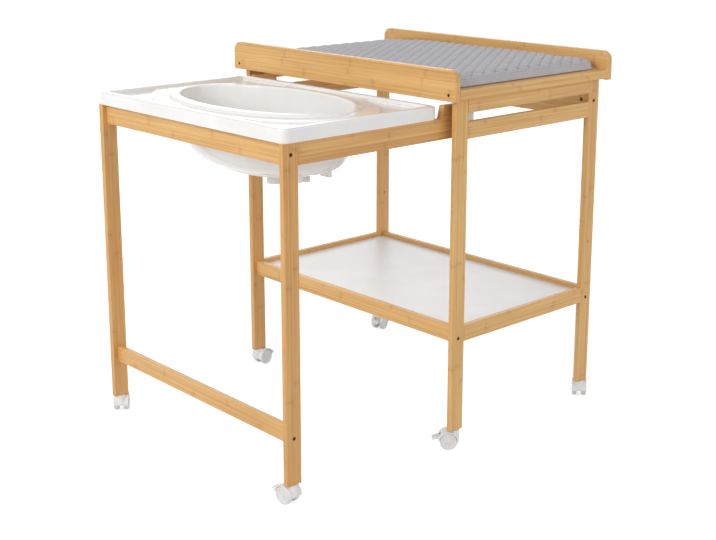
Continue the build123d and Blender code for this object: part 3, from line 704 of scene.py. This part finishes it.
# Changing pad
# A foam slab in a grey cotton cover, laid between the guards. The top is quilted in slanting
# diamonds, a plain band goes round the sides, and corded seams join it to the top and bottom.
pad_low, pad_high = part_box("changing_pad")
pad_middle = (pad_low + pad_high) / 2
pad_counts = (47, 69, 3)
pad_slack = 0.004
pad_start_height = 0.0235
pad_corner = 0.032
pad_edge_tuck = 0.0025
pad_cap = 0.0085
pad_frames = 20
pad_pitch = 0.025
pad_slant = radians(35.5)
pad_puff = 0.0030
# The last sets how far the painted furrow shade spreads from the stitch lines
quilt_fullness, quilt_sink, furrow_shade_spread = 0.7, 0.6, 0.5
pad_margin = (0.004, 0.018)
pad_far_sag = (0.18, 0.013)
pad_far_sag_curve = 1.5
pad_corner_sag = (0.085, 0.003)
cord_radius = 0.0019
# How far up each cord lies from its seam, in radii, and how far out
cord_rise = {"top": -0.4, "foot": 1.2}
cord_proud = 0.0002


def pad_place(i, j, k):
    """Where a lattice point of the unfilled pad lies, with its corners rounded in plan."""
    rise = k / pad_counts[2]
    tuck = pad_slack + pad_edge_tuck * (2 * rise - 1) ** 2
    half = [(pad_high[axis] - pad_low[axis]) / 2 - tuck for axis in (0, 1)]
    flat = [half[axis] * (2 * (i, j)[axis] / pad_counts[axis] - 1) for axis in (0, 1)]
    past = [abs(flat[axis]) - (half[axis] - pad_corner) for axis in (0, 1)]
    if min(past) > 0:
        shrink = max(past) / hypot(*past)
        for axis in (0, 1):
            edge = half[axis] - pad_corner + past[axis] * shrink
            flat[axis] = edge if flat[axis] > 0 else -edge
    return (
        pad_middle.x + flat[0],
        pad_middle.y + flat[1],
        pad_low.z + rise * pad_start_height,
    )


pad_index = {}
pad_points = []
for k in range(pad_counts[2] + 1):
    for j in range(pad_counts[1] + 1):
        for i in range(pad_counts[0] + 1):
            if any(n in (0, pad_counts[axis]) for axis, n in enumerate((i, j, k))):
                pad_index[i, j, k] = len(pad_points)
                pad_points.append(pad_place(i, j, k))
pad_quads = []
for axis in range(3):
    first, second = [n for n in range(3) if n != axis]
    for end in (0, pad_counts[axis]):
        for a in range(pad_counts[first]):
            for b in range(pad_counts[second]):
                quad = []
                for da, db in ((0, 0), (1, 0), (1, 1), (0, 1)):
                    corner = [0, 0, 0]
                    corner[axis], corner[first], corner[second] = end, a + da, b + db
                    quad.append(pad_index[tuple(corner)])
                if (end > 0) == (axis == 1):
                    quad.reverse()
                pad_quads.append(quad)
pad_mesh = bpy.data.meshes.new("pad_cover")
pad_mesh.from_pydata(pad_points, [], pad_quads)
pad = bpy.data.objects.new("pad_cover", pad_mesh)
bpy.context.scene.collection.objects.link(pad)


def plain_mesh(thing, name):
    """The object's mesh with its modifiers worked in."""
    graph = bpy.context.evaluated_depsgraph_get()
    made = bpy.data.meshes.new_from_object(thing.evaluated_get(graph), depsgraph=graph)
    made.name = name
    return made


def mesh_points(mesh):
    """A mesh's vertices as rows of numbers."""
    flat = np.empty(len(mesh.vertices) * 3)
    mesh.vertices.foreach_get("co", flat)
    return flat.reshape(-1, 3)


# Filling: the cover is blown up like a cushion, held flat where it lies on the tray
pad_rest = mesh_points(pad_mesh)
held = pad.vertex_groups.new(name="held")
held.add([pad_index[key] for key in pad_index if key[2] == 0], 1.0, "REPLACE")
cloth = pad.modifiers.new("filling", "CLOTH")
cloth.settings.quality = 6
cloth.settings.mass = 0.3
cloth.settings.tension_stiffness = 30.0
cloth.settings.compression_stiffness = 30.0
cloth.settings.shear_stiffness = 10.0
cloth.settings.bending_stiffness = 4.0
cloth.settings.use_pressure = True
cloth.settings.uniform_pressure_force = 4.0
cloth.settings.vertex_group_mass = "held"
cloth.settings.effector_weights.gravity = 0.0
cloth.collision_settings.use_collision = False
cloth.point_cache.frame_start, cloth.point_cache.frame_end = 1, pad_frames
for frame_number in range(1, pad_frames + 1):
    bpy.context.scene.frame_set(frame_number)
pad_blown = mesh_points(plain_mesh(pad, "pad_blown"))
pad.modifiers.remove(cloth)
pad.vertex_groups.remove(held)
bpy.context.scene.frame_set(1)
pad_moved = pad_blown - pad_rest
pad_length = np.linalg.norm(pad_moved, axis=1, keepdims=True)
pad_filled = pad_rest + pad_moved * np.minimum(1.0, pad_cap / np.maximum(pad_length, 1e-9))
pad_filled[:, :2] = np.clip(pad_filled[:, :2], pad_low.xy, pad_high.xy)
pad_filled[:, 2] = np.maximum(pad_filled[:, 2], pad_low.z)
# Wear: it has gone thin towards its far end, and at the near corner by the outer guard
sag_from, sag_depth = pad_far_sag
corner_reach, corner_depth = pad_corner_sag
pad_thick = (pad_filled[:, 2] - pad_low.z) / (pad_high.z - pad_low.z)
pad_far = np.clip((pad_filled[:, 1] - sag_from) / (pad_high.y - sag_from), 0.0, 1.0)
pad_near_corner = np.hypot(pad_filled[:, 0] - pad_high.x, pad_filled[:, 1] - pad_low.y)
pad_filled[:, 2] -= pad_thick * (
    sag_depth * pad_far**pad_far_sag_curve
    + corner_depth * np.exp(-((pad_near_corner / corner_reach) ** 2))
)
pad_mesh.vertices.foreach_set("co", pad_filled.ravel())
pad_mesh.update()

# Quilting: two more subdivisions, then a puff in each diamond between the slanting stitch lines
pad_smooth = pad.modifiers.new("smooth", "SUBSURF")
pad_smooth.levels = pad_smooth.render_levels = 2
pad.data = plain_mesh(pad, "pad_cover")
pad.modifiers.remove(pad_smooth)
pad_mesh = pad.data
pad_co = mesh_points(pad_mesh)
pad_normals = np.empty(len(pad_mesh.vertices) * 3)
pad_mesh.vertex_normals.foreach_get("vector", pad_normals)
pad_normals = pad_normals.reshape(-1, 3)
pad_flat = pad_co[:, :2] - pad_middle.xy
pad_from_edge = np.min((np.array(pad_high.xy) - pad_middle.xy) - np.abs(pad_flat), axis=1)
pad_inside = np.clip((pad_from_edge - pad_margin[0]) / (pad_margin[1] - pad_margin[0]), 0.0, 1.0)
pad_inside *= pad_inside * (3 - 2 * pad_inside)
pad_inside[pad_normals[:, 2] < 0.5] = 0.0
pad_diamond = np.ones(len(pad_co))
for slant in (pad_slant, -pad_slant):
    pad_line = (pad_flat[:, 1] * cos(slant) - pad_flat[:, 0] * sin(slant)) / pad_pitch
    pad_diamond *= np.abs(np.sin(pi * pad_line))
pad_raise = pad_inside * pad_puff * (pad_diamond**quilt_fullness - quilt_sink)
pad_co += pad_normals * pad_raise[:, None]
pad_mesh.vertices.foreach_set("co", pad_co.ravel())
pad_mesh.update()
# Painted shade of the furrows: 0 on a stitch line inside the edge, 1 on the puffs, sides and edges
furrow_shade = pad_mesh.attributes.new("furrow_shade", "FLOAT", "POINT")
furrow_shade.data.foreach_set("value", 1 - pad_inside * (1 - pad_diamond**furrow_shade_spread))
pad_ring = (
    [(i, 0) for i in range(pad_counts[0])]
    + [(pad_counts[0], j) for j in range(pad_counts[1])]
    + [(i, pad_counts[1]) for i in range(pad_counts[0], 0, -1)]
    + [(0, j) for j in range(pad_counts[1], 0, -1)]
)
pad_seams = {
    level: [Vector(pad_co[pad_index[i, j, k]]) for i, j in pad_ring]
    for level, k in (("top", pad_counts[2]), ("foot", 0))
}
pad_under = bmesh.new()
pad_under.from_mesh(pad_mesh)
pad_flat_level = pad_low.z + 1e-5
bmesh.ops.dissolve_faces(
    pad_under,
    faces=[f for f in pad_under.faces if all(v.co.z < pad_flat_level for v in f.verts)],
    use_verts=True,
)
pad_under.to_mesh(pad_mesh)
pad_under.free()
pad_mesh.polygons.foreach_set("use_smooth", [True] * len(pad_mesh.polygons))

pad_cotton, pad_nodes, pad_links = new_material("pad_cotton")
pad_shader = pad_nodes["Principled BSDF"]
pad_shader.inputs["Sheen Weight"].default_value = 0.15
pad_shader.inputs["Sheen Roughness"].default_value = 0.5
pad_tree = pad_cotton.node_tree
pad_object = pad_nodes.new("ShaderNodeTexCoord").outputs["Object"]
pad_split = pad_nodes.new("ShaderNodeSeparateXYZ")
pad_links.new(pad_object, pad_split.inputs[0])
thread_pitch = 0.0011
cotton_light, cotton_dark = tone(207, 205, 209), tone(176, 174, 179)
# The last is the painted shade of the quilting's furrows
cotton_patch, cotton_furrow_shade = tone(178, 176, 181), tone(128, 126, 132)
pad_warp, pad_weft, pad_wale = (
    math_node(pad_tree, "SINE", math_node(pad_tree, "MULTIPLY", axis, 2 * pi / thread_pitch))
    for axis in pad_split.outputs
)
pad_weave = math_node(
    pad_tree,
    "ADD",
    math_node(pad_tree, "MULTIPLY", pad_warp, pad_weft),
    math_node(pad_tree, "MULTIPLY", pad_wale, 0.5),
)
pad_melange = noise_node(pad_tree, pad_object, 620.0, 3.0, 0.7)
pad_mottle = noise_node(pad_tree, pad_object, 38.0, 2.0)
pad_furrow_shade = pad_nodes.new("ShaderNodeAttribute")
pad_furrow_shade.attribute_name = "furrow_shade"
pad_thread = mix_node(
    pad_tree,
    range_node(pad_tree, pad_melange, 0.36, 0.64, 0.0, 1.0),
    cotton_light,
    cotton_dark,
)
pad_patch = mix_node(
    pad_tree,
    range_node(pad_tree, pad_mottle, *noise_cloudy, 0.0, 0.25),
    pad_thread,
    cotton_patch,
)
# Painted shade: the cotton darkens towards each stitch line, where the furrows lie in shade
pad_furrow_shaded = mix_node(
    pad_tree,
    range_node(pad_tree, pad_furrow_shade.outputs["Fac"], 0.0, 0.60, 0.66, 0.0, smooth=True),
    pad_patch,
    cotton_furrow_shade,
)
pad_links.new(pad_furrow_shaded, pad_shader.inputs["Base Color"])
pad_links.new(
    range_node(pad_tree, pad_melange, 0.3, 0.7, 0.78, 0.92), pad_shader.inputs["Roughness"]
)
pad_bump = pad_nodes.new("ShaderNodeBump")
pad_bump.inputs["Strength"].default_value = 0.35
pad_bump.inputs["Distance"].default_value = 0.0004
pad_links.new(pad_weave, pad_bump.inputs["Height"])
pad_links.new(pad_bump.outputs[0], pad_shader.inputs["Normal"])
pad_mesh.materials.append(pad_cotton)
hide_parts("changing_pad")
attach(pad, "pad")

# Corded seams of the pad: a cord in a strip of the same cotton, sewn in where the band meets
# the top and the bottom
for level, ring in pad_seams.items():
    seam_curve = bpy.data.curves.new(f"pad_cord_{level}", "CURVE")
    seam_curve.dimensions = "3D"
    seam_curve.bevel_depth = cord_radius
    seam_curve.bevel_resolution = 2
    seam_line = seam_curve.splines.new("POLY")
    seam_line.points.add(len(ring) - 1)
    rise = cord_radius * cord_rise[level]
    for point, spot in zip(seam_line.points, ring):
        out = (spot - pad_middle) * Vector((1, 1, 0))
        spot = spot + out.normalized() * cord_proud + Vector((0, 0, rise))
        point.co = (*spot, 1.0)
    seam_line.use_cyclic_u = True
    seam_object = bpy.data.objects.new(f"pad_cord_{level}", seam_curve)
    bpy.context.scene.collection.objects.link(seam_object)
    seam_mesh = plain_mesh(seam_object, f"pad_cord_{level}")
    bpy.data.objects.remove(seam_object)
    seam_mesh.materials.clear()
    seam_mesh.materials.append(pad_cotton)
    # The cords carry no painted furrow shade
    seam_mesh.attributes.new("furrow_shade", "FLOAT", "POINT").data.foreach_set(
        "value", [1.0] * len(seam_mesh.vertices)
    )
    seam_mesh.polygons.foreach_set("use_smooth", [True] * len(seam_mesh.polygons))
    seam_piece = bpy.data.objects.new(f"pad_cord_{level}", seam_mesh)
    bpy.context.scene.collection.objects.link(seam_piece)
    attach(seam_piece, "pad")
